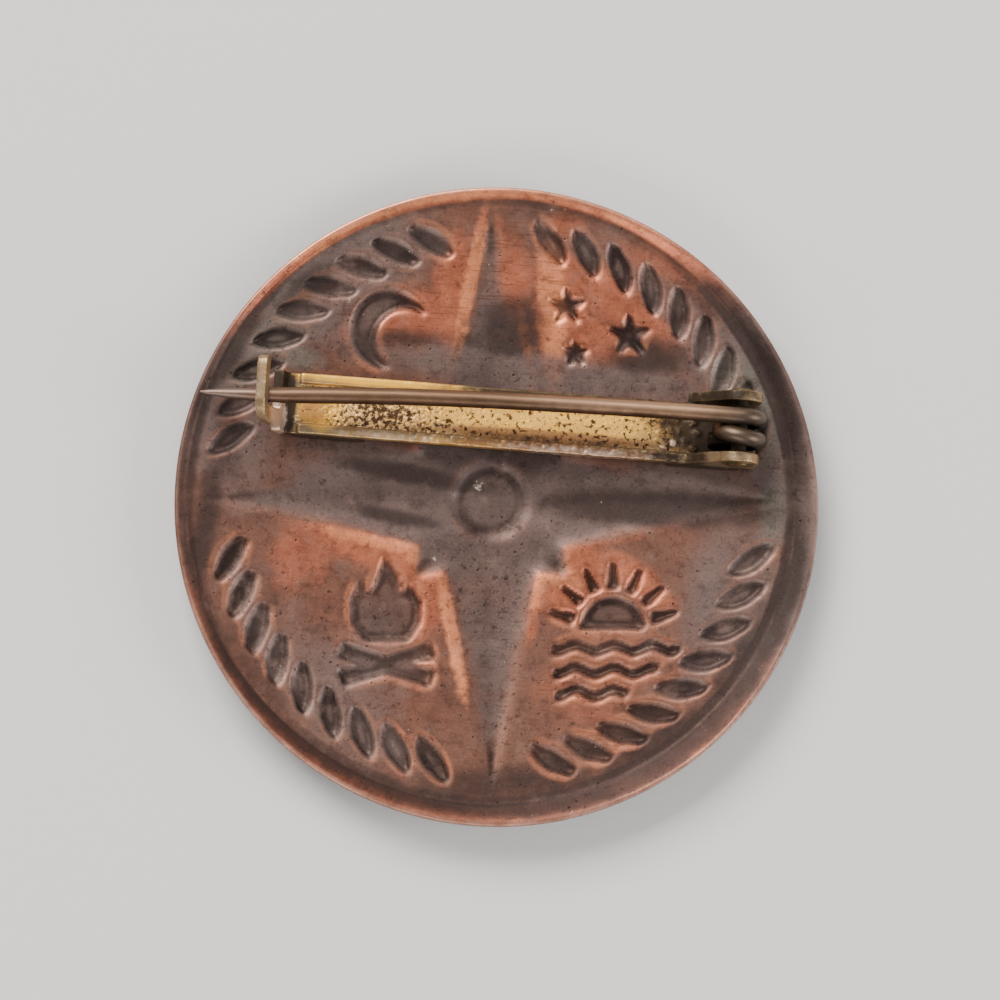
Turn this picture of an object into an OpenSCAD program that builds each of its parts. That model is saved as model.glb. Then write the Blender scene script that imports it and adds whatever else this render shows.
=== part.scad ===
// Round camp badge of thin struck copper, lying on its front with its brooch fitting up.
// A shallow domed field ends in a rim that is turned up towards the back. The design stands
// proud on the front and is sunk into the back, because the sheet is struck right through.
// A folded brass channel is soldered across the back. It ends in two hinge ears and in a
// hook, and a coiled wire pin turns on a rivet between the ears and is caught by the hook.
// Origin: middle of the disc, on the surface that it lies on. +X runs along the brass
// channel from hook to hinge, and +Z points out of the back.

/* [Disc] */
// Diameter of the trimmed disc
disc_d = 38; // [37.6:0.1:38.6]
// Thickness of the copper sheet
sheet_t = 0.85; // [0.8:0.01:0.9]
// Radius of the struck field, out to the foot of the turned-up rim
field_r = 18; // [17.9:0.05:18.1]
// How far the field is dished over its radius
dish_rise = 0.68; // [0.6:0.02:0.74]
// Angle at which the rim is turned up, in degrees
rim_angle = 32; // [26:1:38]
// How far the strike sits off the middle of the blank
strike_off = 0.5; // [0.3:0.05:0.6]

/* [Struck design] */
// Height of the central boss above the front of the field
boss_h = 0.72; // [0.66:0.02:0.8]
// Radius of the central boss
boss_r = 2.3; // [2:0.1:2.6]
// Height of the wind rose at its middle
rose_h = 0.6; // [0.5:0.02:0.64]
// Height of the small figures on the front
figure_h = 0.36; // [0.25:0.01:0.4]
// Depth of the small figures in the back
figure_depth = 0.3; // [0.2:0.01:0.36]
// Number of wreath leaves in each quarter of the border
leaves_per_quarter = 9; // [7:1:9]

/* [Brass fitting] */
// Length of the channel's floor, from the hook to the hinge end
channel_l = 27.8; // [27.6:0.1:27.9]
// Width of the channel over its two low flanges
channel_w = 3.6; // [3.5:0.05:3.6]
// Thickness of the brass sheet
brass_t = 0.6; // [0.5:0.02:0.6]
// Height of the flanges above the channel's floor
flange_h = 0.4; // [0.3:0.05:0.45]
// How far the hook leans outwards, in degrees
hook_lean = 22; // [18:1:23]

/* [Wire pin] */
// Diameter of the pin wire
wire_d = 1; // [0.9:0.02:1]
// Diameter of the hinge rivet
rivet_d = 0.9; // [0.8:0.02:0.92]
// Distance from the rivet to the pin's point
pin_reach = 31.8; // [31.5:0.1:32]

/* [Hidden] */
$fn = 96;
copper = "#9c5a41";
brass = "#b08f4a";
dark_brass = "#7d6a3c";
brown_wire = "#8a7056";

// The field is part of a sphere, and its middle is set off from the blank's.
disc_r = disc_d / 2;
dish_r = (field_r * field_r + dish_rise * dish_rise) / (2 * dish_rise);
strike_at = [-strike_off * cos(48), strike_off * sin(48), 0];
art_turn = 4;
front_z = boss_h;
sphere_z = front_z + dish_r;
rim_reach = 2.2;
round_fn = 256;

// Where the fitting lies on the back. Its furthest corner is seat_r from the strike's middle.
channel_x0 = -12.8;
channel_x1 = channel_x0 + channel_l;
channel_y0 = 3.25;
flange_x0 = channel_x0 + 0.7;
seat_r = 17;
seat_gap = 0.04;
floor_under = field_z(seat_r) + sheet_t + seat_gap;
floor_top = floor_under + brass_t;
solder_gap = 0.03;

// Hinge: the rivet's line, and the ears on either side of the coil.
hinge_x = 13.84;
wire_r = wire_d / 2;
coil_slack = 0.2;
coil_r = rivet_d / 2 + coil_slack + wire_r;
hinge_z = floor_top + coil_r + wire_r + 0.12;
ear_t = 0.6;
ear_r = 1.25;
ear_x0 = 10.9;
ear_y = [channel_y0, 6.9];
rivet_play = 0.03;

// Hook, drawn in its own leaning plane: across the channel, then up from its floor.
hook_t = 0.6;
wall_h = 0.95;
neck_y = 3.45;
neck_w = 1.05;
slot_top = 3.1;
crest_h = 0.66;
lip_y = 7.35;
lip_drop = 0.05;

function field_z(r) = sphere_z - sqrt(dish_r * dish_r - r * r);

// Dished shell between two spheres about the same point: depths are measured into the
// metal from the front, so 0 is the front of the field and sheet_t is its back.
module dished_layer(from_depth, to_depth, radius) {
    rotate_extrude()
        intersection() {
            translate([0, sphere_z])
                difference() {
                    circle(r = dish_r - from_depth, $fn = round_fn);
                    circle(r = dish_r - to_depth, $fn = round_fn);
                }
            translate([0, -2])
                square([radius, 8]);
        }
}

// The turned-up rim beyond the field, with a fine groove pressed along its foot.
module turned_rim() {
    foot = field_z(field_r);
    climb = rim_reach * tan(rim_angle);
    rotate_extrude()
        difference() {
            polygon([
                [field_r - 0.3, field_z(field_r - 0.3)],
                [field_r, foot],
                [field_r + rim_reach, foot + climb],
                [field_r + rim_reach, foot + climb + sheet_t],
                [field_r, foot + sheet_t],
                [field_r - 0.3, field_z(field_r - 0.3) + sheet_t - 0.02]
            ]);
            translate([field_r - 0.12, foot + sheet_t + 0.1])
                circle(r = 0.22, $fn = 24);
        }
}

// Four-pointed rose, raised along the middle of each arm and low along its outline. It
// hangs down from the front of the field, and its back is closed inside the metal.
module rose(tip_r, waist_r, height, turn) {
    edge_h = 0.2;
    inner = 0.12;
    ring = [for (i = [0:7]) let (r = i % 2 == 0 ? tip_r : waist_r, a = 45 * i + turn)
        [r * cos(a), r * sin(a), field_z(r)]];
    low = [for (p = ring) [p[0], p[1], p[2] - edge_h]];
    high = [for (p = ring) [p[0], p[1], p[2] + inner]];
    points = concat([[0, 0, front_z - height]], low, high, [[0, 0, front_z + inner]]);
    faces = concat(
        [for (i = [0:7]) [0, 1 + i, 1 + (i + 1) % 8]],
        [for (i = [0:7]) [1 + i, 9 + i, 9 + (i + 1) % 8]],
        [for (i = [0:7]) [1 + i, 9 + (i + 1) % 8, 1 + (i + 1) % 8]],
        [for (i = [0:7]) [17, 9 + (i + 1) % 8, 9 + i]]
    );
    polyhedron(points, faces);
}

module wind_rose() {
    rose(16.9, 4.1, rose_h, 0);
    rose(6.3, 3.5, rose_h * 0.75, 45);
}

// One leaf of the wreath, lying aslant and pointed at both ends.
module wreath_leaf(angle) {
    r_in = 14.7;
    r_out = 16.9;
    half_width = 2.8;
    slant = 3.3;
    // Stations from the inner end to the outer: [share of the slant, share of the width].
    outline = [[-1, 0.3], [-0.45, 0.85], [0, 1], [0.45, 0.85], [1, 0.3]];
    last = len(outline) - 1;
    function edge(i, side) =
        let (r = r_in + (r_out - r_in) * i / last,
            a = angle + slant * outline[i][0] + side * half_width * outline[i][1])
        [r * cos(a), r * sin(a)];
    polygon(concat([for (i = [0:last]) edge(i, -1)], [for (i = [last:-1:0]) edge(i, 1)]));
}

// The wreath runs round the edge of the field and leaves room for the rose's four tips.
module wreath() {
    quarter = 64;
    step = quarter / (leaves_per_quarter - 1);
    for (q = [0:3], k = [0:leaves_per_quarter - 1])
        wreath_leaf(90 * q + (90 - quarter) / 2 + k * step);
}

module five_point_star(at, r) {
    translate(at)
        polygon([for (i = [0:9]) let (d = i % 2 == 0 ? r : r * 0.42, a = 90 + 36 * i)
            [d * cos(a), d * sin(a)]]);
}

module night_sky() {
    // Crescent moon, then stars as [x, y, radius].
    translate([-6, 10.1])
        rotate(-35)
            difference() {
                circle(r = 2.3, $fn = 48);
                translate([1.15, 0])
                    circle(r = 1.9, $fn = 48);
            }
    for (s = [[4.5, 11.6, 1.25], [8.2, 9.9, 1.4], [5, 8.8, 0.95]])
        five_point_star([s[0], s[1]], s[2]);
}

module camp_fire() {
    // Flame, then two crossed logs under it.
    translate([-6.2, -8.4]) {
        polygon([
            [-1.3, 0], [-2, 1.1], [-2.1, 2.3], [-1.5, 3.7], [-1.15, 2.7], [-0.65, 3.3],
            [-0.1, 5.1], [0.6, 3.9], [0.85, 2.8], [1.45, 3.5], [2, 2.3], [2, 1.1], [1.3, 0]
        ]);
        for (side = [-1, 1])
            translate([0, -1.4])
                rotate(side * 17)
                    square([5.6, 0.95], center = true);
    }
}

module rising_sun() {
    // Half disc, with tapered rays fanned out above it.
    sun_r = 1.9;
    ray_from = 2.35;
    ray_to = 3.9;
    ray_w = 0.75;
    translate([7.2, -7.6]) {
        intersection() {
            circle(r = sun_r, $fn = 48);
            translate([-sun_r, 0])
                square([2 * sun_r, sun_r]);
        }
        for (k = [0:6])
            rotate(15 + 25 * k)
                polygon([
                    [ray_from, -ray_w / 2], [ray_to, -0.12], [ray_to, 0.12], [ray_from, ray_w / 2]
                ]);
    }
}

module lake_waves() {
    // Rows of water under the sun, as [first x, last x, y].
    wave_w = 0.55;
    swell = 0.22;
    steps = 14;
    for (row = [[3.6, 11.1, -8.75], [3.7, 9.8, -10.1], [3.8, 8, -11.4]]) {
        line = [for (i = [0:steps]) let (x = row[0] + (row[1] - row[0]) * i / steps)
            [x, row[2] + swell * sin(160 * x)]];
        polygon(concat(
            [for (p = line) [p[0], p[1] - wave_w / 2]],
            [for (i = [steps:-1:0]) [line[i][0], line[i][1] + wave_w / 2]]
        ));
    }
}

module small_figures() {
    linear_extrude(height = 8)
        union() {
            wreath();
            night_sky();
            camp_fire();
            rising_sun();
            lake_waves();
        }
}

module struck_disc() {
    color(copper)
        intersection() {
            cylinder(r = disc_r, h = 8, $fn = 192);
            translate(strike_at)
                rotate(art_turn)
                    difference() {
                        union() {
                            dished_layer(0, sheet_t, field_r);
                            turned_rim();
                            wind_rose();
                            cylinder(r = boss_r, h = boss_h + 0.2);
                            intersection() {
                                small_figures();
                                dished_layer(-figure_h, 0.2, field_r - 0.5);
                            }
                        }
                        translate([0, 0, sheet_t])
                            wind_rose();
                        translate([0, 0, sheet_t])
                            cylinder(r = boss_r - 0.2, h = 4);
                        intersection() {
                            small_figures();
                            dished_layer(sheet_t - figure_depth, sheet_t + 1.5, field_r - 0.5);
                        }
                    }
        }
}

// Shallow channel: a floor with two low flanges, and a wider floor under the coil.
module channel() {
    difference() {
        union() {
            translate([channel_x0 - 0.2, channel_y0, floor_under])
                cube([channel_l + 0.2, channel_w, brass_t]);
            translate([flange_x0, channel_y0, floor_under])
                cube([channel_x1 - flange_x0, channel_w, brass_t + flange_h]);
            translate([ear_x0, channel_y0, floor_under])
                cube([channel_x1 - ear_x0, ear_y[1] + ear_t - channel_y0, brass_t]);
        }
        translate([channel_x0 - 1, channel_y0 + brass_t, floor_top])
            cube([channel_l + 2, channel_w - 2 * brass_t, 2]);
        translate([ear_x0 + 0.4, channel_y0 + ear_t, floor_top])
            cube([6, ear_y[1] - ear_y[0] - ear_t, 2]);
    }
}

// Hinge ear: a rounded lug that slopes down to the flange, bored for the rivet.
module hinge_ear(y) {
    rise = hinge_z - floor_under;
    meet_r = ear_r - 0.06;
    translate([0, y + ear_t, floor_under])
        rotate([90, 0, 0])
            linear_extrude(height = ear_t)
                difference() {
                    union() {
                        translate([hinge_x, rise])
                            circle(r = ear_r, $fn = 64);
                        polygon([
                            [ear_x0, 0], [ear_x0, brass_t + flange_h],
                            [hinge_x - meet_r * cos(50), rise + meet_r * sin(50)],
                            [hinge_x + meet_r * cos(12), rise - meet_r * sin(12)],
                            [channel_x1, 0]
                        ]);
                    }
                    translate([hinge_x, rise])
                        circle(r = rivet_d / 2 + rivet_play, $fn = 48);
                }
}

// Flat outline of the hook: a low wall, a neck at one side, and a crest over the pin.
module hook_outline() {
    crest_top = slot_top + crest_h;
    shoulder_r = 1.3;
    tip_r = 0.45;
    arch_r = 4;
    slot_y0 = neck_y + neck_w;
    bend_bulge = 0.02;
    translate([channel_y0 - bend_bulge, -brass_t])
        square([channel_w + 2 * bend_bulge, wall_h + brass_t]);
    difference() {
        union() {
            translate([neck_y, -brass_t])
                square([shoulder_r, crest_top - shoulder_r + brass_t]);
            translate([neck_y + shoulder_r, crest_top - shoulder_r])
                circle(r = shoulder_r, $fn = 64);
            translate([neck_y + shoulder_r, wall_h])
                square([lip_y - tip_r - neck_y - shoulder_r, crest_top - wall_h]);
            translate([neck_y + shoulder_r, wall_h])
                square([lip_y - neck_y - shoulder_r, crest_top - tip_r - wall_h]);
            translate([lip_y - tip_r, crest_top - tip_r])
                circle(r = tip_r, $fn = 32);
        }
        translate([slot_y0, wall_h])
            square([8, slot_top - lip_drop - wall_h]);
        translate([slot_y0, slot_top - arch_r])
            intersection() {
                translate([(lip_y - slot_y0) / 2, 0])
                    circle(r = arch_r, $fn = 96);
                square([8, arch_r + 1]);
            }
    }
}

module hook() {
    translate([channel_x0, 0, floor_top])
        rotate([0, -hook_lean, 0])
            rotate([90, 0, -90])
                mirror([1, 0, 0])
                    linear_extrude(height = hook_t)
                        hook_outline();
}

// Solder under each end of the channel, following the dished back of the disc.
module solder_beds() {
    lap = 0.12;
    bed_l = 5.2;
    bed_w = channel_w + 2 * lap;
    corner = 0.8;
    intersection() {
        for (x = [channel_x0, channel_x1 - bed_l - 0.4])
            translate([x, channel_y0 - lap, 0])
                linear_extrude(height = floor_under + 0.15)
                    union() {
                        translate([corner, 0])
                            square([bed_l - 2 * corner, bed_w]);
                        translate([0, corner])
                            square([bed_l, bed_w - 2 * corner]);
                        for (cx = [corner, bed_l - corner], cy = [corner, bed_w - corner])
                            translate([cx, cy])
                                circle(r = corner, $fn = 32);
                    }
        translate(strike_at)
            dished_layer(sheet_t + solder_gap, sheet_t + 3, field_r);
    }
}

module brooch_channel() {
    color(brass)
        union() {
            channel();
            for (y = ear_y)
                hinge_ear(y);
            hook();
            solder_beds();
        }
}

// Rivet through both ears, with its ends spread outside them.
module hinge_rivet() {
    head_t = 0.2;
    head_r = 0.65;
    gap = 0.03;
    low = ear_y[0] - gap;
    high = ear_y[1] + ear_t + gap;
    color(dark_brass)
        translate([hinge_x, 0, hinge_z])
            rotate([-90, 0, 0]) {
                translate([0, 0, low - head_t])
                    cylinder(d = rivet_d, h = high - low + 2 * head_t, $fn = 48);
                translate([0, 0, low - head_t])
                    cylinder(r = head_r, h = head_t, $fn = 48);
                translate([0, 0, high])
                    cylinder(r = head_r, h = head_t, $fn = 48);
            }
}

// Line of the pin wire: a straight tapered shaft with a slight set in it, then a coil
// round the rivet that starts at its top and turns once and a half, then a short tail.
pin_top = hinge_z + coil_r;
pin_fall = 0.021;
coil_y = [5.95, 4.68];
coil_step = 15;
coil_turn = 540;
coil_shift = [105, 405];
tail_l = 1.7;
// Shaft stations as [share of the reach, sideways place, share of the wire's radius].
shaft = [
    [1, 5, 0.1], [0.985, 5, 0.3], [0.95, 5.02, 0.58], [0.9, 5.07, 0.8], [0.85, 5.14, 0.94],
    [0.79, 5.28, 1], [0.7, 5.46, 1], [0.62, 5.59, 1], [0.54, 5.69, 1], [0.46, 5.77, 1],
    [0.37, 5.83, 1], [0.28, 5.88, 1], [0.18, 5.92, 1], [0.09, 5.95, 1]
];

function ease(t) = let (u = min(1, max(0, t))) u * u * (3 - 2 * u);
function coil_side(turn) = coil_y[0]
    + (coil_y[1] - coil_y[0]) * ease((turn - coil_shift[0]) / (coil_shift[1] - coil_shift[0]));
function coil_point(turn) =
    [hinge_x + coil_r * sin(turn), coil_side(turn), hinge_z + coil_r * cos(turn)];

pin_line = concat(
    [for (s = shaft) [hinge_x - s[0] * pin_reach, s[1], pin_top - pin_fall * s[0] * pin_reach]],
    [for (turn = [0:coil_step:coil_turn]) coil_point(turn)],
    [[hinge_x - tail_l, coil_y[1], hinge_z - coil_r]]
);
pin_radii = concat(
    [for (s = shaft) s[2] * wire_r],
    [for (turn = [0:coil_step:coil_turn]) wire_r],
    [wire_r]
);

function unit(v) = v / norm(v);

// Wire swept along a line of points, as rings of sides joined into one closed skin.
module swept_wire(line, radii, sides) {
    last = len(line) - 1;
    along = [for (i = [0:last]) unit(line[min(i + 1, last)] - line[max(i - 1, 0)])];
    rings = [for (i = [0:last])
        let (side = unit([0, 1, 0] - along[i] * along[i][1]), up = cross(along[i], side))
        for (k = [0:sides - 1]) let (a = 360 * k / sides)
            line[i] + radii[i] * (cos(a) * side + sin(a) * up)];
    skin = [for (i = [0:last - 1], k = [0:sides - 1]) let (n = (k + 1) % sides)
        [i * sides + k, (i + 1) * sides + k, (i + 1) * sides + n, i * sides + n]];
    start = [[for (k = [0:sides - 1]) k]];
    end = [[for (k = [sides - 1:-1:0]) last * sides + k]];
    polyhedron(concat(rings), concat(start, skin, end));
}

module wire_pin() {
    color(brown_wire)
        swept_wire(pin_line, pin_radii, 12);
}

struck_disc();
brooch_channel();
hinge_rivet();
wire_pin();
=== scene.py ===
import math

import bpy
import numpy as np
from mathutils import Matrix, Vector


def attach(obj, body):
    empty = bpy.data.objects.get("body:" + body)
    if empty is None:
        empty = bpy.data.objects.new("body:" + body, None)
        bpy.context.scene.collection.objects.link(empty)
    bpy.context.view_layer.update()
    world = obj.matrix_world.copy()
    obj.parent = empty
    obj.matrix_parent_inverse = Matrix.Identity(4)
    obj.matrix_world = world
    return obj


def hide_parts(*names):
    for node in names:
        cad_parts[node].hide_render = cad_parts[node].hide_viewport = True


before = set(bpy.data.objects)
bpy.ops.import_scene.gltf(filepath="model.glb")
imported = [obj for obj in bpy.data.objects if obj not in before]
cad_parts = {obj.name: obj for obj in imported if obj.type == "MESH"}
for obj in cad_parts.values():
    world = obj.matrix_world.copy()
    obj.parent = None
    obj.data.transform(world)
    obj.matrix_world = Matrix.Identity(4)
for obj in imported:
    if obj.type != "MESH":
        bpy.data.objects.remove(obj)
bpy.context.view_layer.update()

bpy.ops.object.select_all(action="DESELECT")
mm = 0.001


# Camera. It looks down on the badge's back from 35 cm, leaning a little towards the hook and
# the lower edge of the disc, so that the round disc shows very slightly oval.
lean = math.radians(7.68)
lean_x, lean_y = -0.4042, -0.9145
to_camera = Vector((lean_x * math.sin(lean), lean_y * math.sin(lean), math.cos(lean)))
picture_up = Vector((-0.0698, 0.9976, 0))
aimed_at = Vector((0.123, 0.232, 3.0)) * mm
camera_distance = 350 * mm
picture_width = 58.89 * mm
sensor_width = 36

bpy.ops.object.camera_add(location=aimed_at + to_camera * camera_distance)
camera = bpy.context.object
camera.name = "camera"
picture_right = picture_up.cross(to_camera).normalized()
picture_up = to_camera.cross(picture_right).normalized()
turned = Matrix((picture_right, picture_up, to_camera)).transposed().to_4x4()
camera.matrix_world = Matrix.Translation(camera.location) @ turned
camera.data.sensor_width = sensor_width
camera.data.lens = sensor_width * camera_distance / picture_width
camera.data.clip_start = 10 * mm
camera.data.clip_end = 5
bpy.context.scene.camera = camera


# Floor and lights: a pale matt table top under a soft studio light, with one large soft
# panel beyond the top left of the disc and a weaker one low on the right.
table_side = 3
bpy.ops.mesh.primitive_plane_add(size=table_side, location=(0, 0, 0))
floor = bpy.context.object
floor.name = "table_top"
floor_finish = bpy.data.materials.new("pale_table_top")
floor_finish.use_nodes = True
floor_shader = floor_finish.node_tree.nodes["Principled BSDF"]
floor_shader.inputs["Base Color"].default_value = (0.62, 0.61, 0.59, 1)
floor_shader.inputs["Roughness"].default_value = 0.85
floor.data.materials.append(floor_finish)

world = bpy.data.worlds.new("studio_air")
world.use_nodes = True
world.node_tree.nodes["Background"].inputs["Color"].default_value = (0.93, 0.96, 1, 1)
world.node_tree.nodes["Background"].inputs["Strength"].default_value = 0.42
bpy.context.scene.world = world

# Each panel: name, place, width, height, watts, colour.
panels = [
    ("panel_top_left", (-0.28, 0.42, 0.5), 0.45, 0.35, 9.0, (1, 0.97, 0.93)),
    ("panel_right", (0.5, -0.1, 0.3), 0.3, 0.3, 2.6, (0.95, 0.97, 1)),
    ("panel_near", (-0.15, -0.5, 0.38), 0.5, 0.2, 2.4, (1, 0.98, 0.95)),
]
for name, place, width, height, watts, colour in panels:
    bpy.ops.object.light_add(type="AREA", location=place)
    panel = bpy.context.object
    panel.name = name
    panel.data.shape = "RECTANGLE"
    panel.data.size, panel.data.size_y = width, height
    panel.data.energy, panel.data.color = watts, colour
    panel.rotation_euler = (-Vector(place)).to_track_quat("-Z", "Y").to_euler()


# Struck disc. Thin copper sheet stamped between dies, so each shape that stands proud on the
# front is sunk in the back, with edges that the stamping leaves soft. Its rim is turned up
# and trimmed round. The copper is browned, with orange bare metal where it was rubbed.
disc_r = 19 * mm
sheet_t = 0.85 * mm
field_r = 18 * mm
dish_rise = 0.68 * mm
front_z = 0.72 * mm
rim_slope = math.tan(math.radians(32))
strike_x, strike_y = -0.335 * mm, 0.372 * mm
# The trimmed edge is rounded over by this radius, in these few steps.
edge_round = 0.15 * mm
edge_steps = 3
# Each face is a grid of so many cells a side, and the CAD disc is probed this much finer.
back_cells, front_cells = 256, 166
probes = 3
# Going outwards: how far the strike is crisp, how far its brows show, the foot of the rim,
# and where the rim's own colour starts.
crisp_r, brow_r, foot_r, rim_r = 17.3 * mm, 17.4 * mm, 17.75 * mm, 17.9 * mm
# A strike this deep, and a crease or a brow this deep or high, is painted in full.
struck_depth, crease_depth = 0.35 * mm, 0.03 * mm
# The sheet isn't quite flat: how broad its waves are, and how high on the back and front.
wave_size, back_waves, front_waves = 4.5 * mm, 0.12 * mm, 0.04 * mm
# The struck rose has four long arms and four short ones: turn, tip and waist of each star.
rose_stars = [(math.radians(4), 16.9 * mm, 2.9 * mm), (math.radians(49), 6.3 * mm, 2.5 * mm)]


def only(piece):
    """Selects one piece alone and makes it the active one."""
    bpy.ops.object.select_all(action="DESELECT")
    piece.select_set(True)
    bpy.context.view_layer.objects.active = piece


def shaped_by(piece, kind, **settings):
    """Adds one modifier with these settings and applies it."""
    only(piece)
    bpy.ops.object.modifier_add(type=kind)
    modifier = piece.modifiers[-1]
    for name, value in settings.items():
        setattr(modifier, name, value)
    bpy.ops.object.modifier_apply(modifier=modifier.name)


def places(piece):
    """The places of a piece's vertices, one row each."""
    found = np.empty(len(piece.data.vertices) * 3)
    piece.data.vertices.foreach_get("co", found)
    return found.reshape(-1, 3)


def normals_of(piece):
    """The way that each of a piece's vertices faces, one row each."""
    found = np.empty(len(piece.data.vertices) * 3)
    piece.data.vertices.foreach_get("normal", found)
    return found.reshape(-1, 3)


def put(piece, rows):
    """Moves a piece's vertices to these places."""
    piece.data.vertices.foreach_set("co", np.ascontiguousarray(rows).ravel())
    piece.data.update()


def paint(piece, name, values):
    """Writes one number for each vertex, which the materials read by this name."""
    layer = piece.data.attributes.get(name) or piece.data.attributes.new(name, "FLOAT", "POINT")
    layer.data.foreach_set("value", np.clip(values, 0, 1).astype(np.float32))


def soft_noise(name, size):
    """A cloudy height pattern whose lumps are about this size."""
    clouds = bpy.data.textures.new(name, "CLOUDS")
    clouds.noise_scale = size
    clouds.noise_depth = 2
    return clouds


def blurred(heights, passes):
    """A square table of heights, each pass evened out with its eight neighbours."""
    for _ in range(passes):
        for axis in (0, 1):
            pad = [(1, 1) if axis == a else (0, 0) for a in (0, 1)]
            wide = np.pad(heights, pad, mode="edge")
            side = [slice(None), slice(None)]
            below, above = list(side), list(side)
            below[axis], above[axis] = slice(0, -2), slice(2, None)
            heights = (wide[tuple(below)] + wide[tuple(above)] + 2 * heights) / 4
    return heights


def strike_radius(rows):
    """How far each place is from the middle of the strike."""
    return np.hypot(rows[:, 0] - strike_x, rows[:, 1] - strike_y)


def plain_back(r):
    """Height of the back where nothing is struck into it: a shallow dish with a turned-up rim."""
    dish = dish_rise * (np.minimum(r, field_r) / field_r) ** 2
    return front_z + sheet_t + dish + np.maximum(r - field_r, 0) * rim_slope


def outside_rose(rows):
    """How far each place is outside the outline of the struck rose, below 0 inside it."""
    r = strike_radius(rows)
    outside = np.full(len(rows), disc_r)
    for turn, tip, waist in rose_stars:
        angle = np.arctan2(rows[:, 1] - strike_y, rows[:, 0] - strike_x) - turn
        off_arm = (angle + math.pi / 4) % (math.pi / 2) - math.pi / 4
        along, across = r * np.cos(off_arm), r * np.abs(np.sin(off_arm))
        edge = ((along - tip) * waist + across * (tip - waist)) / math.hypot(waist, tip - waist)
        outside = np.minimum(outside, edge)
    return outside


def round_grid(name, steps, height):
    """A level square grid of steps by steps cells, drawn out to the round of the disc."""
    bpy.ops.object.select_all(action="DESELECT")
    bpy.ops.mesh.primitive_grid_add(x_subdivisions=steps, y_subdivisions=steps, size=2)
    grid = bpy.context.object
    grid.name = name
    rows = places(grid)
    x, y = rows[:, 0].copy(), rows[:, 1].copy()
    rows[:, 0] = x * np.sqrt(1 - y * y / 2) * (disc_r - edge_round)
    rows[:, 1] = y * np.sqrt(1 - x * x / 2) * (disc_r - edge_round)
    rows[:, 2] = height
    put(grid, rows)
    return grid


def struck_face(name, from_above, cells):
    """One face of the sheet: a fine grid pressed onto the CAD disc, with its edges evened out."""
    # The probe starts well clear of the disc, above it or below it.
    start_z = 12 * mm if from_above else -6 * mm
    probe = round_grid(name + "_probe", cells * probes, start_z)
    shaped_by(
        probe, "SHRINKWRAP", target=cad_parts["struck_disc"], wrap_method="PROJECT",
        use_project_z=True, use_negative_direction=from_above,
        use_positive_direction=not from_above,
    )
    rows = places(probe)
    side = cells * probes + 1
    # The wreath and the small figures are crisp, and the rose and the foot of the rim are softer.
    crisp = (outside_rose(rows) > 0.5 * mm) & (strike_radius(rows) < crisp_r)
    border_passes = 30
    crisp = blurred(crisp.reshape(side, side).astype(float), border_passes)
    heights = rows[:, 2].reshape(side, side)
    sharp_passes, gentle_passes = (16, 36) if from_above else (9, 8)
    sharp = blurred(heights, sharp_passes)
    gentle = blurred(sharp, gentle_passes)
    heights = (gentle + (sharp - gentle) * crisp)[::probes, ::probes]
    bpy.data.objects.remove(probe)

    face = round_grid(name, cells, 0)
    rows = places(face)
    rows[:, 2] = heights.ravel()
    put(face, rows)
    shaped_by(
        face, "DISPLACE", texture=soft_noise(name + "_waves", wave_size),
        strength=back_waves if from_above else front_waves, mid_level=0.5, direction="Z",
        texture_coords="LOCAL",
    )

    rows = places(face)
    side = cells + 1
    heights = rows[:, 2].reshape(side, side)
    # A crease is where the face lies under its surroundings, and a brow is where it stands up.
    close_up, far_off = blurred(heights, 2), blurred(heights, 8)
    relief = (far_off - close_up).ravel() / crease_depth
    # The rim's upper part has no struck relief.
    relief *= 1 - np.clip((strike_radius(rows) - 18.2 * mm) / (0.3 * mm), 0, 1)
    if not from_above:
        relief = -relief
    paint(face, "crease", relief)
    paint(face, "brow", -relief * (strike_radius(rows) < brow_r))
    sunk = plain_back(strike_radius(rows)) - (rows[:, 2] if from_above else rows[:, 2] + sheet_t)
    sunk = blurred(np.clip(sunk / struck_depth, 0, 1).reshape(side, side), 1)
    paint(face, "struck", sunk.ravel())
    # The metal is greyer for some way round what is struck.
    halo_passes = 26
    paint(face, "halo", 1.6 * blurred(sunk, halo_passes).ravel())

    # The trimmed edge, rounded over in a few small steps.
    only(face)
    bpy.ops.object.mode_set(mode="EDIT")
    bpy.ops.mesh.select_mode(type="EDGE")
    bpy.ops.mesh.select_all(action="DESELECT")
    bpy.ops.mesh.select_non_manifold(
        use_wire=False, use_multi_face=False, use_non_contiguous=False, use_verts=False
    )
    reach, fall = disc_r - edge_round, 0
    for step in range(1, edge_steps + 1):
        a = math.pi / 2 * step / edge_steps
        new_reach = disc_r - edge_round * (1 - math.sin(a))
        new_fall = edge_round * (1 - math.cos(a))
        drop = (fall - new_fall) * (1 if from_above else -1)
        bpy.ops.mesh.extrude_region_move(TRANSFORM_OT_translate={"value": (0, 0, drop)})
        grow = new_reach / reach
        bpy.ops.transform.resize(value=(grow, grow, 1), center_override=(0, 0, 0))
        reach, fall = new_reach, new_fall
    bpy.ops.object.mode_set(mode="OBJECT")
    return face


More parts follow.
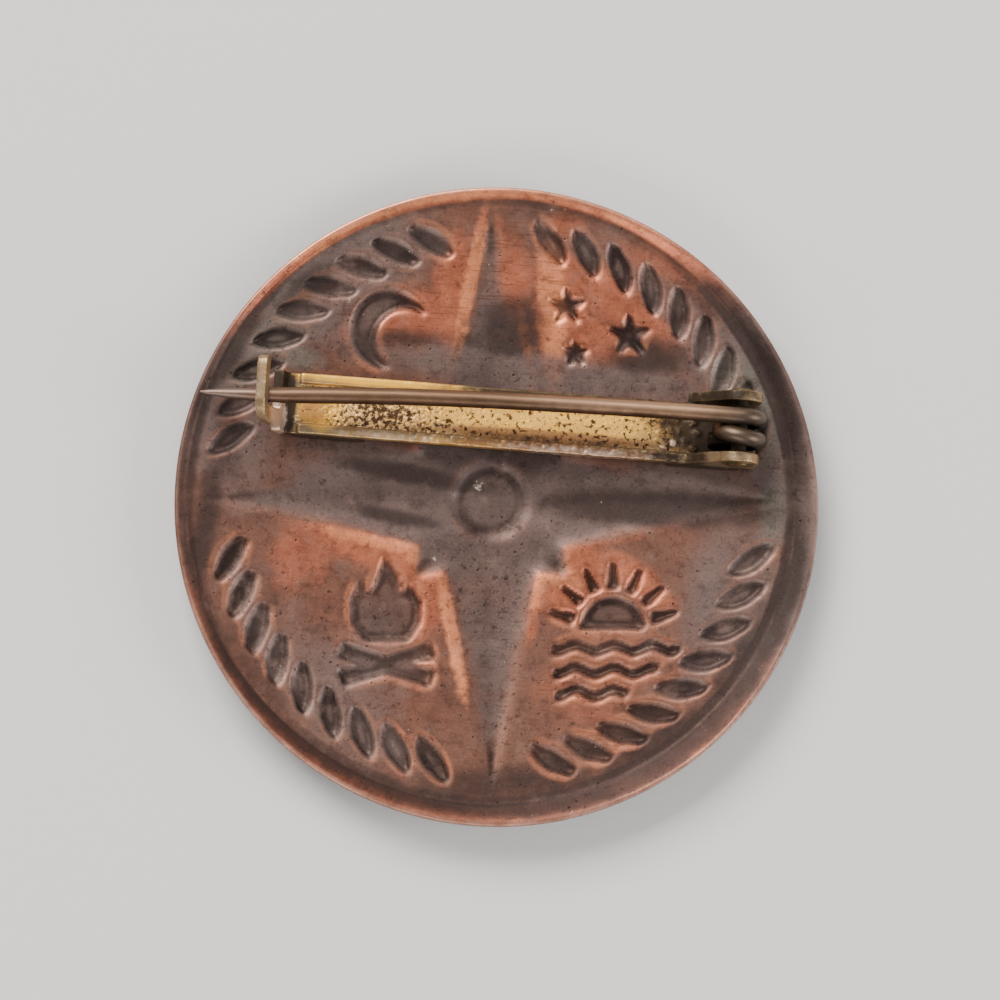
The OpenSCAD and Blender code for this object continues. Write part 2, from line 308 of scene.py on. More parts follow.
back_face = struck_face("back_face", True, back_cells)
front_face = struck_face("front_face", False, front_cells)
only(front_face)
bpy.ops.object.mode_set(mode="EDIT")
bpy.ops.mesh.select_all(action="SELECT")
bpy.ops.mesh.flip_normals()
bpy.ops.object.mode_set(mode="OBJECT")
only(back_face)
front_face.select_set(True)
bpy.ops.object.join()
disc = bpy.context.object
disc.name = "struck_copper_disc"
bpy.ops.object.mode_set(mode="EDIT")
bpy.ops.mesh.select_mode(type="EDGE")
bpy.ops.mesh.select_all(action="DESELECT")
bpy.ops.mesh.select_non_manifold(
    use_wire=False, use_multi_face=False, use_non_contiguous=False, use_verts=False
)
bpy.ops.mesh.bridge_edge_loops()
bpy.ops.mesh.select_all(action="SELECT")
bpy.ops.mesh.normals_make_consistent(inside=False)
bpy.ops.object.mode_set(mode="OBJECT")
bpy.ops.object.shade_smooth()

# Where the metal is bare, bright, grey, sooty or speckled on the back, as patches of
# (x, y, half length, half width, turn, strength) in millimetres and degrees.
bare_patches = [
    (-6.2, 10.8, 4.2, 2.0, 6, 0.85), (-3.4, 12.2, 1.3, 3.6, 2, 1.0), (3.0, 13.0, 1.7, 4.6, 0, 1.0),
    (7.4, 13.2, 4.6, 2.6, -28, 0.85), (5.2, 10.2, 2.6, 1.6, 0, 0.9), (-0.4, 15.0, 1.8, 1.8, 0, 0.45),
    (-7.4, -2.6, 4.2, 1.5, -14, 1.0), (-4.2, -4.8, 1.4, 3.0, 18, 1.0), (-11.2, -3.8, 2.8, 2.0, 60, 0.62),
    (4.6, -4.0, 2.4, 2.6, 30, 1.0), (8.6, -3.8, 2.8, 1.0, -35, 0.8), (6.6, -10.0, 4.2, 2.6, 20, 0.5),
    (2.2, 1.7, 4.0, 0.7, -6, 0.6), (-8.6, -8.0, 3.0, 2.2, 0, 0.3),
]
# The struck arms themselves are rubbed bare at the top, and a little on the lowest one.
arm_patches = [
    (0.0, 13.4, 1.5, 2.4, 0, 0.75), (0.2, -10.6, 1.2, 3.0, 0, 0.25), (-0.2, -3.4, 2.2, 3.4, 0, 0.34),
]
# The metal is bare along parts of the rose's outline too.
border_patches = [
    (-2.4, 13.0, 2.2, 4.6, 0, 1.0), (2.4, 12.6, 2.4, 4.8, 0, 1.0), (-3.6, -5.6, 2.4, 5.4, 0, 1.0),
    (3.4, -4.6, 2.4, 3.6, 0, 0.9), (-8.0, -1.6, 4.4, 1.4, 0, 0.8), (7.6, -2.0, 3.2, 1.4, 0, 0.5),
]
# The brightest copper lies on parts of that border, and in one streak beside the top arm.
glow_patches = [
    (-2.2, 12.6, 1.4, 4.4, 0, 1.0), (1.9, 12.2, 1.4, 3.8, 0, 0.8), (-2.4, -8.4, 1.8, 4.6, 0, 1.0),
    (-6.2, -2.8, 4.0, 1.0, -8, 0.85), (3.6, -4.4, 1.6, 2.2, 0, 0.75),
]
glow_streaks = [(2.5, 12.0, 0.85, 4.2, 6, 1.0)]
# Dull grey tarnish.
grey_patches = [
    (-16.0, 4.6, 3.0, 5.4, 0, 0.9), (16.2, 5.4, 2.6, 6.6, 12, 1.0), (13.2, 9.6, 3.6, 2.4, -30, 0.9),
    (-10.6, 12.9, 6.0, 3.0, 42, 1.0), (-8.4, 1.0, 4.4, 1.8, 0, 0.8), (14.2, -4.2, 2.8, 5.4, -8, 0.85),
    (-13.0, -8.0, 2.6, 4.0, 25, 0.4), (-8.4, -12.8, 5.0, 2.4, -36, 0.55), (5.0, 15.8, 3.4, 1.2, -14, 0.45),
    (2.0, 8.2, 12.0, 1.3, -3, 0.9), (9.8, 12.8, 3.6, 1.2, -38, 0.75), (12.0, 2.5, 4.4, 0.9, -4, 0.9),
    (-9.4, -11.0, 6.0, 3.0, -42, 0.6), (-6.0, 2.4, 7.0, 0.8, -4, 0.75),
]
# Pale grey bloom left by the soldering at both ends of the brass fitting.
bloom_patches = [
    (13.4, 8.8, 1.8, 1.4, -20, 1.0), (15.4, 6.4, 0.9, 2.6, 8, 0.85), (16.3, 0.9, 0.9, 2.4, 0, 0.75),
    (-14.2, 8.9, 2.2, 1.1, 32, 0.95), (-12.3, 8.0, 1.5, 0.8, -8, 0.8), (-15.2, 6.9, 1.0, 1.5, -30, 0.75),
    (-12.6, 12.0, 2.6, 0.9, 44, 0.5),
]
# Just above the fitting the soot has been wiped thin.
wiped_patches = [(1.0, 7.9, 13.0, 0.95, -3, 0.95)]
# Nearly black soot and dirt.
soot_patches = [
    (0.2, 10.5, 1.9, 2.2, 0, 1.0), (-1.5, 9.8, 3.0, 0.6, 0, 0.6), (-6.4, 9.3, 2.8, 0.8, 4, 0.9),
    (8.0, 9.5, 2.8, 1.4, 4, 0.9), (-16.3, 8.2, 0.9, 3.4, -27, 1.0), (-16.2, 3.0, 1.0, 2.8, 8, 0.7),
    (9.6, 0.6, 6.6, 1.1, 2, 1.0), (-5.4, 1.55, 5.0, 0.6, -6, 0.9), (17.1, 5.6, 0.6, 3.2, 16, 1.0),
    (17.4, -3.2, 0.5, 2.4, -10, 0.9),
    (-17.2, -3.0, 0.9, 6.4, -8, 0.8), (10.2, -13.2, 4.6, 0.6, 36, 0.8), (14.8, -8.0, 0.8, 4.0, -28, 0.7),
    (15.9, 9.2, 0.8, 4.4, 30, 1.0), (-13.4, -11.0, 0.9, 4.4, 38, 0.5), (2.0, -16.4, 7.5, 1.3, 6, 0.7),
    (-5.9, -1.05, 2.8, 0.5, -6, 0.85), (0.5, 17.5, 4.5, 0.5, 0, 0.4), (-12.2, 12.2, 2.4, 0.9, 45, 0.75),
    (11.3, 13.1, 2.6, 0.6, -40, 0.55),
]
# Dark specks stand closest here.
speckled_patches = [
    (-0.3, -5.2, 3.2, 3.6, 0, 1.0), (-8.0, -8.0, 6.0, 4.0, 0, 0.6), (1.0, 8.6, 5.0, 2.6, 0, 0.5),
    (10.0, 5.0, 8.0, 7.0, 0, 0.35), (0.0, -12.0, 10.0, 5.0, 0, 0.35), (-13.0, 2.0, 5.0, 8.0, 0, 0.5),
]
# Fine brush lines show most here.
brushed_patches = [
    (-0.3, 13.4, 3.4, 3.6, 0, 1.0), (-7.0, 11.0, 5.0, 3.0, 0, 0.5), (5.0, -11.0, 7.0, 4.0, 0, 0.5),
]
# Two small places are scratched bright.
flecked_patches = [(-1.25, 1.25, 0.85, 0.45, -8, 1.0), (-3.3, -3.4, 0.3, 0.4, 30, 0.9)]
# How bare the turned-up rim is, by direction: (degrees from +X, share).
rim_bare = [
    (-180, 0.1), (-160, 0.25), (-135, 0.4), (-110, 0.46), (-90, 0.46), (-65, 0.42), (-40, 0.36),
    (-20, 0.2), (0, 0.02), (38, 0.02), (50, 0.3), (63, 0.85), (90, 1.0), (112, 0.95), (132, 0.85),
    (146, 0.55), (158, 0.1), (180, 0.05),
]
# How dark the painted shade on it is: (degrees from +X, share).
rim_shade = [
    (-180, 0.8), (-155, 0.76), (-130, 0.8), (-110, 0.68), (-90, 0.74), (-70, 0.82), (-55, 0.92),
    (-42, 0.88), (-28, 0.68), (-18, 0.8), (-10, 0.94), (0, 0.5), (6, 0.34), (12, 0.5), (20, 0.82),
    (38, 0.84), (50, 0.55), (62, 0.15), (120, 0.1), (138, 0.2), (150, 0.75), (160, 0.84), (180, 0.8),
]
# How grey it is: (degrees from +X, share).
rim_grey = [
    (-180, 0.3), (-150, 0.1), (-42, 0.1), (-28, 0.6), (-16, 0.7), (-4, 1.0), (36, 1.0), (44, 0.4), (52, 0),
    (140, 0), (160, 0.6), (180, 0.4),
]
# How bright a painted highlight on its outer part is: (degrees from +X, share).
rim_highlight = [(-180, 0), (50, 0), (66, 0.6), (80, 0.5), (98, 0.95), (128, 0.95), (140, 0), (180, 0)]
# How dark the painted shade is along its foot: (degrees from +X, share).
foot_shade = [
    (-180, 0.7), (-165, 0.6), (-150, 0.5), (-135, 0.35), (-120, 0.6), (-90, 0.65), (-70, 0.75), (-55, 1.0),
    (-25, 1.0), (-10, 1.0), (2, 0.65), (8, 0.65), (18, 0.95), (42, 1.0), (52, 0.6), (70, 0.4), (90, 0.5),
    (130, 0.4), (148, 0.8), (165, 0.7), (180, 0.7),
]
# How bright the corner of the trimmed edge is, from wear and a painted highlight: (degrees from
# +X, share).
edge_wear_and_sheen = [
    (-180, 0.15), (-170, 0.2), (-155, 0.45), (-140, 0.6), (-40, 0.62), (-25, 0.42), (-10, 0.26), (5, 0.42),
    (20, 0.15), (35, 0.2), (50, 0.6), (70, 0.8), (90, 0.7), (105, 0.95), (120, 0.85), (135, 0.5),
    (150, 0.15), (180, 0.15),
]
# How much farther in the rim's own colour starts: (degrees from +X, millimetres).
rim_start_in = [(85, 0), (105, 0.25), (140, 0.25), (152, 0)]
# The corner takes most of that wear and painted highlight, and the side of the sheet little:
# (millimetres from the disc's middle, share).
corner_wear_and_sheen = [(18.7, 0), (18.86, 0.6), (18.98, 1), (19, 0.25)]
# The rose is greyed too, less so on its lowest arm: (y in millimetres, share).
rose_grey = [(-5, 0.2), (-1.5, 0.46)]


def read_off(table, at):
    """What a table of (place, value) pairs gives at these places."""
    return np.interp(at, *zip(*table))


def patch_strength(rows, patches):
    """How far into the strongest of these patches each place lies, from 0 to 1."""
    most = np.zeros(len(rows))
    for x, y, length, width, turn, strength in patches:
        c, s = math.cos(math.radians(turn)), math.sin(math.radians(turn))
        dx, dy = rows[:, 0] - x * mm, rows[:, 1] - y * mm
        u, v = (dx * c + dy * s) / (length * mm), (dy * c - dx * s) / (width * mm)
        # Half of the strength is left at the patch's half length or half width.
        most = np.maximum(most, strength * np.exp(-0.69 * (u * u + v * v) ** 1.4))
    return most


rows = places(disc)
on_back = normals_of(disc)[:, 2] > 0
struck = np.empty(len(rows))
disc.data.attributes["struck"].data.foreach_get("value", struck)
direction = np.degrees(np.arctan2(rows[:, 1], rows[:, 0]))
past_rim_r = (strike_radius(rows) - rim_r) / mm + read_off(rim_start_in, direction)
on_rim = np.clip(past_rim_r / 0.25, 0, 1)
# The rim's painted shade is darkest at its foot and lighter towards its edge, where it is barer.
from_middle = np.hypot(rows[:, 0], rows[:, 1])
up_rim = np.clip((from_middle - rim_r) / (0.85 * mm), 0, 1)
off_rose = outside_rose(rows) / mm
# A narrow band just outside the rose's outline, clear of the ring in the middle.
border = np.exp(-(((off_rose - 0.45) / 0.45) ** 2)) * (strike_radius(rows) > 3.4 * mm)
bare = patch_strength(rows, bare_patches) * np.clip(0.5 + off_rose, 0.35, 1) * (1 - 0.6 * struck)
bare = np.maximum(bare, border * patch_strength(rows, border_patches))
bare = np.maximum(bare, patch_strength(rows, arm_patches))
bare_rim = read_off(rim_bare, direction) - 0.08 + 0.25 * up_rim
bare = bare * (1 - on_rim) + bare_rim * on_rim
on_rose = read_off(rose_grey, rows[:, 1] / mm) * np.clip(0.4 - off_rose, 0, 1)
grey = np.maximum(patch_strength(rows, grey_patches), on_rose)
soot_and_shade = patch_strength(rows, soot_patches) * (1 - on_rim)
soot_and_shade *= 1 - patch_strength(rows, wiped_patches)
# Painted shade: a dark band along the rim's foot, and over the rim itself by direction.
foot = np.exp(-(((strike_radius(rows) - foot_r) / (0.36 * mm)) ** 4))
soot_and_shade = np.maximum(soot_and_shade, foot * read_off(foot_shade, direction))
rim_shade_share = read_off(rim_shade, direction) * (1.3 - 0.6 * up_rim)
soot_and_shade = np.maximum(soot_and_shade, rim_shade_share * on_rim)
paint(disc, "bare", np.where(on_back, bare, 0.25))
grey = grey * (1 - on_rim) + read_off(rim_grey, direction) * on_rim
paint(disc, "grey", np.where(on_back, grey, 0.1))
paint(disc, "soot_and_shade", np.where(on_back, soot_and_shade, 0.1))
paint(disc, "speckled", np.where(on_back, patch_strength(rows, speckled_patches), 0.2))
corner = read_off(corner_wear_and_sheen, from_middle / mm)
paint(disc, "edge", corner * read_off(edge_wear_and_sheen, direction))
glow_and_highlight = np.maximum(border * patch_strength(rows, glow_patches), patch_strength(rows, glow_streaks))
# On the rim this is a painted highlight, brightest towards the edge.
glow_and_highlight = glow_and_highlight * (1 - on_rim) + read_off(rim_highlight, direction) * on_rim * up_rim
paint(disc, "glow_and_highlight", glow_and_highlight * on_back)
paint(disc, "rim", on_rim * on_back)
paint(disc, "bloom", patch_strength(rows, bloom_patches) * on_back * (1 - on_rim))
paint(disc, "brushed", patch_strength(rows, brushed_patches) * on_back)
paint(disc, "flecked", patch_strength(rows, flecked_patches) * on_back)


def tone(red, green, blue):
    """A colour as it looks on a screen, 0 to 255, as the shader's linear values."""
    return tuple(((c / 255 + 0.055) / 1.055) ** 2.4 for c in (red, green, blue)) + (1,)


def feed(tree, value, socket):
    """Joins a socket to this one, or sets it to a plain value."""
    if isinstance(value, bpy.types.NodeSocket):
        tree.links.new(value, socket)
    else:
        socket.default_value = value


def add(tree, kind, inputs, **settings):
    """Adds a shader node with these settings and inputs."""
    made = tree.nodes.new("ShaderNode" + kind)
    for name, value in settings.items():
        setattr(made, name, value)
    for name, value in inputs.items():
        feed(tree, value, made.inputs[name])
    return made


def sum_up(tree, operation, first, second):
    """One step of arithmetic on two values."""
    return add(tree, "Math", {0: first, 1: second}, operation=operation).outputs[0]


def between(tree, share, low, high):
    """A value that goes from low to high with share."""
    return add(tree, "Mix", {0: share, 2: low, 3: high}).outputs[0]


def tinted(tree, share, under, over, how="MIX"):
    """A colour laid over another one, by share."""
    return add(
        tree, "Mix", {0: share, 6: under, 7: over}, data_type="RGBA", blend_type=how
    ).outputs[2]


def laid_on(tree, under, over, mask, most):
    """A colour laid over another one where a mask is, by this share at the most."""
    return tinted(tree, sum_up(tree, "MULTIPLY", mask, most), under, over)


def spread(tree, value, low, high):
    """A value from low to high drawn out to 0 to 1, with soft ends."""
    return add(
        tree, "MapRange", {0: value, 1: low, 2: high}, interpolation_type="SMOOTHSTEP"
    ).outputs[0]


def cloudy(tree, where, scale, detail=4, rough=0.55):
    """A noise pattern with this many lumps to the metre."""
    return add(
        tree, "TexNoise", {"Vector": where, "Scale": scale, "Detail": detail, "Roughness": rough}
    ).outputs[0]


def effect(name, inputs, outputs):
    """Starts a shader node group with named sockets: its tree, what comes in, what goes out."""
    group = bpy.data.node_groups.new(name, "ShaderNodeTree")
    for label, kind, value in inputs:
        socket = group.interface.new_socket(
            label, in_out="INPUT", socket_type="NodeSocket" + kind
        )
        if value is not None:
            socket.default_value = value
    for label, kind in outputs:
        group.interface.new_socket(label, in_out="OUTPUT", socket_type="NodeSocket" + kind)
    entry = group.nodes.new("NodeGroupInput")
    leave = group.nodes.new("NodeGroupOutput")
    return group, entry.outputs, leave.inputs


def use_effect(tree, group, **inputs):
    """Places an effect in a material with its own values and returns its outputs."""
    placed = tree.nodes.new("ShaderNodeGroup")
    placed.node_tree = group
    for label, value in inputs.items():
        feed(tree, value, placed.inputs[label.replace("_", " ")])
    return placed.outputs


ragged_edge, came, goes = effect(
    "ragged_edge",
    [("Mask", "Float", 0), ("Vector", "Vector", None), ("Scale", "Float", 700),
     ("Raggedness", "Float", 0.5), ("Softness", "Float", 0.2)],
    [("Mask", "Float")],
)
rough_noise = cloudy(ragged_edge, came["Vector"], came["Scale"], 7, 0.62)
shift = sum_up(
    ragged_edge, "MULTIPLY", sum_up(ragged_edge, "SUBTRACT", rough_noise, 0.5), came["Raggedness"]
)
shifted = sum_up(ragged_edge, "ADD", came["Mask"], shift)
ragged = spread(
    ragged_edge, shifted, sum_up(ragged_edge, "SUBTRACT", 0.5, came["Softness"]),
    sum_up(ragged_edge, "ADD", 0.5, came["Softness"]),
)
feed(ragged_edge, ragged, goes["Mask"])

specks, came, goes = effect(
    "specks",
    [("Vector", "Vector", None), ("Scale", "Float", 1500), ("Size", "Float", 0.1),
     ("Share", "Float", 0.5)],
    [("Mask", "Float")],
)
cell = add(specks, "TexVoronoi", {"Vector": came["Vector"], "Scale": came["Scale"]})
lot = add(specks, "SeparateColor", {0: cell.outputs["Color"]})
chosen = sum_up(specks, "LESS_THAN", lot.outputs[0], came["Share"])
speck_r = sum_up(
    specks, "MULTIPLY", came["Size"], sum_up(specks, "ADD", lot.outputs[1], 0.35)
)
inside = spread(
    specks, cell.outputs["Distance"], speck_r, sum_up(specks, "MULTIPLY", speck_r, 0.5)
)
feed(specks, sum_up(specks, "MULTIPLY", inside, chosen), goes["Mask"])

hair_lines, came, goes = effect(
    "hair_lines",
    [("Vector", "Vector", None), ("Scale", "Float", 900), ("Length", "Float", 18),
     ("Share", "Float", 0.3)],
    [("Mask", "Float")],
)
stretch = add(hair_lines, "CombineXYZ", {0: 1.0, 1: came["Length"], 2: 1.0})
drawn = add(hair_lines, "VectorMath", {0: came["Vector"], 1: stretch.outputs[0]}, operation="MULTIPLY")
line_noise = cloudy(hair_lines, drawn.outputs[0], came["Scale"], 3, 0.5)
gate = sum_up(hair_lines, "SUBTRACT", 0.78, sum_up(hair_lines, "MULTIPLY", came["Share"], 0.3))
feed(
    hair_lines, spread(hair_lines, line_noise, gate, sum_up(hair_lines, "ADD", gate, 0.08)),
    goes["Mask"],
)


def ragged_mask(tree, where, mask, scale, raggedness, softness):
    """A mask with its border made ragged."""
    return use_effect(
        tree, ragged_edge, Mask=mask, Vector=where, Scale=scale, Raggedness=raggedness,
        Softness=softness,
    )[0]


def start_finish(name):
    """A new material: its tree, its shader and the place of each point on the piece."""
    finish = bpy.data.materials.new(name)
    finish.use_nodes = True
    tree = finish.node_tree
    shader = tree.nodes["Principled BSDF"]
    where = add(tree, "TexCoord", {}).outputs["Object"]
    return finish, tree, shader, where


def painted(tree, name):
    """Reads what paint() wrote on the vertices."""
    return add(tree, "Attribute", {}, attribute_name=name).outputs["Fac"]


# The copper from its ground up: brown, orange where it is bare, bright in places with a
# painted highlight on the rim, and then grey tarnish, bloom, soot, and painted shade on the
# rim and along its foot over all of it.
copper, tree, shader, where = start_finish("struck_copper")
bare_mask = ragged_mask(tree, where, painted(tree, "bare"), scale=520.0, raggedness=0.7, softness=0.3)
halo = spread(tree, painted(tree, "halo"), 0.1, 0.9)
grey_mask = ragged_mask(
    tree, where, sum_up(tree, "ADD", painted(tree, "grey"), sum_up(tree, "MULTIPLY", halo, 0.5)),
    scale=380.0, raggedness=0.8, softness=0.4,
)
soot_and_shade_mask = ragged_mask(tree, where, painted(tree, "soot_and_shade"), scale=700.0, raggedness=0.65, softness=0.36)
mottle = cloudy(tree, where, 900.0, 6, 0.65)
broad = cloudy(tree, where, 260.0, 3, 0.5)
grain = cloudy(tree, where, 6500.0, 3, 0.6)
brown = tinted(tree, mottle, tone(90, 60, 50), tone(150, 101, 83))
brown = tinted(tree, spread(tree, broad, 0.35, 0.65), brown, tone(126, 88, 74))
orange = tinted(tree, mottle, tone(168, 90, 64), tone(220, 134, 102))
colour = tinted(tree, bare_mask, brown, orange)
glow_and_highlight_mask = ragged_mask(tree, where, painted(tree, "glow_and_highlight"), scale=1300.0, raggedness=1.1, softness=0.32)
# Bright copper, and on the rim a painted highlight.
colour = laid_on(tree, colour, tone(255, 158, 110), glow_and_highlight_mask, 0.88)
colour = laid_on(tree, colour, tone(118, 103, 98), grey_mask, 0.8)
bloom_mask = ragged_mask(tree, where, painted(tree, "bloom"), scale=620.0, raggedness=0.9, softness=0.3)
colour = laid_on(tree, colour, tone(122, 116, 106), bloom_mask, 0.7)
# Soot, and painted shade on the rim and along its foot.
colour = laid_on(tree, colour, tone(56, 45, 42), soot_and_shade_mask, 0.88)
# Dirt lies in what is struck. The creases are darkened with dirt and painted shade, and the
# brows beside them are rubbed and lightened with a painted highlight.
in_crease = spread(tree, painted(tree, "crease"), 0.15, 0.9)
on_brow = spread(tree, painted(tree, "brow"), 0.25, 0.95)
in_struck = spread(tree, painted(tree, "struck"), 0.2, 0.9)
patchy_dirt_and_shade = spread(tree, broad, 0.3, 0.7)
colour = laid_on(
    tree, colour, tone(66, 50, 46), in_struck, between(tree, patchy_dirt_and_shade, 0.1, 0.6)
)
# Dirt and painted shade in the creases.
colour = laid_on(
    tree, colour, tone(34, 24, 22), in_crease, between(tree, patchy_dirt_and_shade, 0.35, 0.85)
)
# Wear and a painted highlight on the brows.
brow_wear_and_highlight = sum_up(tree, "MULTIPLY", on_brow, between(tree, patchy_dirt_and_shade, 0.6, 0.2))
clean = between(tree, grey_mask, 1.0, 0.25)
colour = laid_on(tree, colour, tone(226, 140, 102), brow_wear_and_highlight, clean)
# Small marks: dark specks and blots, and bright flecks.
speckled = painted(tree, "speckled")
dark_specks = use_effect(
    tree, specks, Vector=where, Scale=2400.0, Size=0.2,
    Share=between(tree, speckled, 0.04, 0.55),
)[0]
blots = ragged_mask(
    tree, where, between(tree, speckled, 0.24, 0.38),
    scale=2300.0, raggedness=1.7, softness=0.12,
)
flecks = ragged_mask(
    tree, where, between(tree, painted(tree, "flecked"), 0.11, 0.475),
    scale=1700.0, raggedness=1.7, softness=0.06,
)
# Soft smudges, some darker and some paler than the metal round them.
dark_smudge = spread(tree, cloudy(tree, where, 1250.0, 6, 0.72), 0.5, 0.66)
elsewhere = add(tree, "VectorMath", {0: where, 1: (0.07, 0.03, 0)}, operation="ADD").outputs[0]
pale_smudge = spread(tree, cloudy(tree, elsewhere, 800.0, 5, 0.62), 0.5, 0.74)
pale_smudge = sum_up(tree, "MULTIPLY", pale_smudge, between(tree, soot_and_shade_mask, 1.0, 0.2))
pale_smudge = sum_up(tree, "MULTIPLY", pale_smudge, between(tree, painted(tree, "rim"), 1.0, 0.15))
colour = laid_on(tree, colour, tone(62, 44, 38), dark_smudge, 0.42)
colour = laid_on(tree, colour, tone(152, 124, 112), pale_smudge, 0.3)
# Brush lines run from side to side, and a few scratches aslant.
streaks = use_effect(tree, hair_lines, Vector=where, Scale=520.0, Length=14.0, Share=0.75)[0]
aslant = add(tree, "VectorRotate", {0: where, "Angle": 0.9}, rotation_type="Z_AXIS").outputs[0]
scratches = use_effect(tree, hair_lines, Vector=aslant, Scale=560.0, Length=16.0, Share=0.2)[0]
colour = laid_on(
    tree, colour, tone(84, 54, 44), streaks, between(tree, painted(tree, "brushed"), 0.1, 0.5)
)
colour = laid_on(tree, colour, tone(206, 150, 124), scratches, 0.22)
colour = laid_on(tree, colour, tone(50, 34, 30), blots, 0.55)
colour = laid_on(tree, colour, tone(36, 24, 22), dark_specks, 0.75)
colour = laid_on(tree, colour, tone(222, 204, 182), flecks, 0.75)
# The corner of the trimmed edge is worn bright, unevenly, and lightened by a painted highlight.
edge_noise = spread(tree, cloudy(tree, where, 420.0, 5, 0.7), 0.34, 0.62)
lit_and_worn_edge = sum_up(
    tree, "MULTIPLY", painted(tree, "edge"), between(tree, edge_noise, 0.4, 1.0)
)
colour = tinted(tree, lit_and_worn_edge, colour, tone(250, 190, 164))
grains = tinted(tree, grain, tone(110, 110, 110), tone(255, 255, 255))
fine = tinted(tree, 0.6, colour, grains, "MULTIPLY")
feed(tree, fine, shader.inputs["Base Color"])
metal = between(tree, soot_and_shade_mask, between(tree, bare_mask, 0.75, 0.85), 0.5)
feed(tree, metal, shader.inputs["Metallic"])
shader.inputs["Specular IOR Level"].default_value = 0.2
rough = between(tree, bare_mask, 0.5, 0.42)
rough = sum_up(tree, "ADD", rough, sum_up(tree, "MULTIPLY", sum_up(tree, "SUBTRACT", mottle, 0.5), 0.3))
feed(tree, rough, shader.inputs["Roughness"])
bumps = sum_up(tree, "ADD", sum_up(tree, "MULTIPLY", grain, 0.35), sum_up(tree, "MULTIPLY", mottle, 0.8))
bumps = sum_up(tree, "SUBTRACT", bumps, sum_up(tree, "MULTIPLY", dark_specks, 0.9))
bumps = sum_up(tree, "SUBTRACT", bumps, sum_up(tree, "MULTIPLY", blots, 0.5))
bump = add(tree, "Bump", {"Height": bumps, "Strength": 0.7, "Distance": 0.02 * mm})
feed(tree, bump.outputs[0], shader.inputs["Normal"])

disc.data.materials.clear()
disc.data.materials.append(copper)
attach(disc, "badge")
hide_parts("struck_disc")


# Brooch channel. A strip of brass sheet folded up into a shallow trough, with a hook cut and
# bent at one end and two bored ears at the other, soldered to the disc's back at both ends.
# The floor is rough with old plating and solder, and the metal is browned near the hinge.
voxel = 0.07 * mm
work_scale = 100
channel_z = 2.8164 * mm
# From end to end and across: the trough's floor, the crusted part of its lower flange, and
# the lumps of solder by the hinge.
trough_x, trough_y = (-12.1 * mm, 10.5 * mm), (3.95 * mm, 6.2 * mm)
crust_x, crust_y = (-5.6 * mm, 10.7 * mm), (-math.inf, 3.9 * mm)
lumps_x, lumps_y = (9.0 * mm, 11.9 * mm), (3.95 * mm, 6.4 * mm)

# It starts as a copy of the CAD channel, and the solder is melted onto that.
channel = bpy.data.objects.new("folded_channel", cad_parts["brooch_channel"].data.copy())
bpy.context.collection.objects.link(channel)
channel.data.materials.clear()
only(channel)
bpy.ops.object.mode_set(mode="EDIT")
bpy.ops.mesh.select_all(action="SELECT")
bpy.ops.mesh.remove_doubles(threshold=1e-7)
bpy.ops.object.mode_set(mode="OBJECT")

# Crumbs and low lumps of solder, most of them near the hinge: place and radius in millimetres.
crumbs = []
for x, y, z, r in [
    (8.5, 6.75, 3.1, 0.2), (10.1, 4.4, 2.87, 0.18), (9.5, 4.1, 2.9, 0.12), (9.2, 4.9, 2.85, 0.1),
    (10.4, 5.1, 2.85, 0.13), (-12.2, 4.1, 2.9, 0.12), (2.1, 3.3, 3.16, 0.1), (5.0, 3.4, 3.2, 0.1),
    (11.1, 5.7, 2.76, 0.32), (11.45, 5.1, 2.74, 0.3), (10.8, 4.5, 2.77, 0.26), (11.4, 6.1, 2.8, 0.24),
    (10.2, 5.8, 2.8, 0.18), (11.3, 4.15, 2.85, 0.2), (9.9, 5.2, 2.8, 0.14), (9.6, 6.0, 2.82, 0.12),
]:
    bpy.ops.object.select_all(action="DESELECT")
    bpy.ops.mesh.primitive_ico_sphere_add(
        subdivisions=2, radius=r * mm, location=(x * mm, y * mm, z * mm)
    )
    crumb = bpy.context.object
    bpy.ops.transform.resize(value=(1.3, 1, 0.8))
    bpy.ops.object.transform_apply(location=True, rotation=True, scale=True)
    crumbs.append(crumb)
only(channel)
for crumb in crumbs:
    crumb.select_set(True)
bpy.ops.object.join()
# Blender's remesh takes no voxel under a tenth of a millimetre, so the piece is enlarged.
put(channel, places(channel) * work_scale)
shaped_by(channel, "REMESH", mode="VOXEL", voxel_size=voxel * work_scale, adaptivity=0)
put(channel, places(channel) / work_scale)
shaped_by(channel, "SMOOTH", factor=0.5, iterations=4)


def within(rows, *spans):
    """Which places lie within these spans of x, y and z."""
    return np.all([(v > low) & (v < high) for v, (low, high) in zip(rows.T, spans)], axis=0)


rows = places(channel)
in_trough = within(rows, trough_x, trough_y, (channel_z - 0.12 * mm, channel_z + 0.12 * mm))
on_flange = within(rows, crust_x, crust_y, (3.1 * mm, math.inf))
on_lumps = within(rows, lumps_x, lumps_y, (channel_z + 0.04 * mm, channel_z + 0.35 * mm))
pitted = in_trough & (patch_strength(rows, [(-7.2, 5.0, 3.1, 2.2, 0, 1.0)]) > 0.35)
right_of_hook = rows[:, 0] > -7 * mm
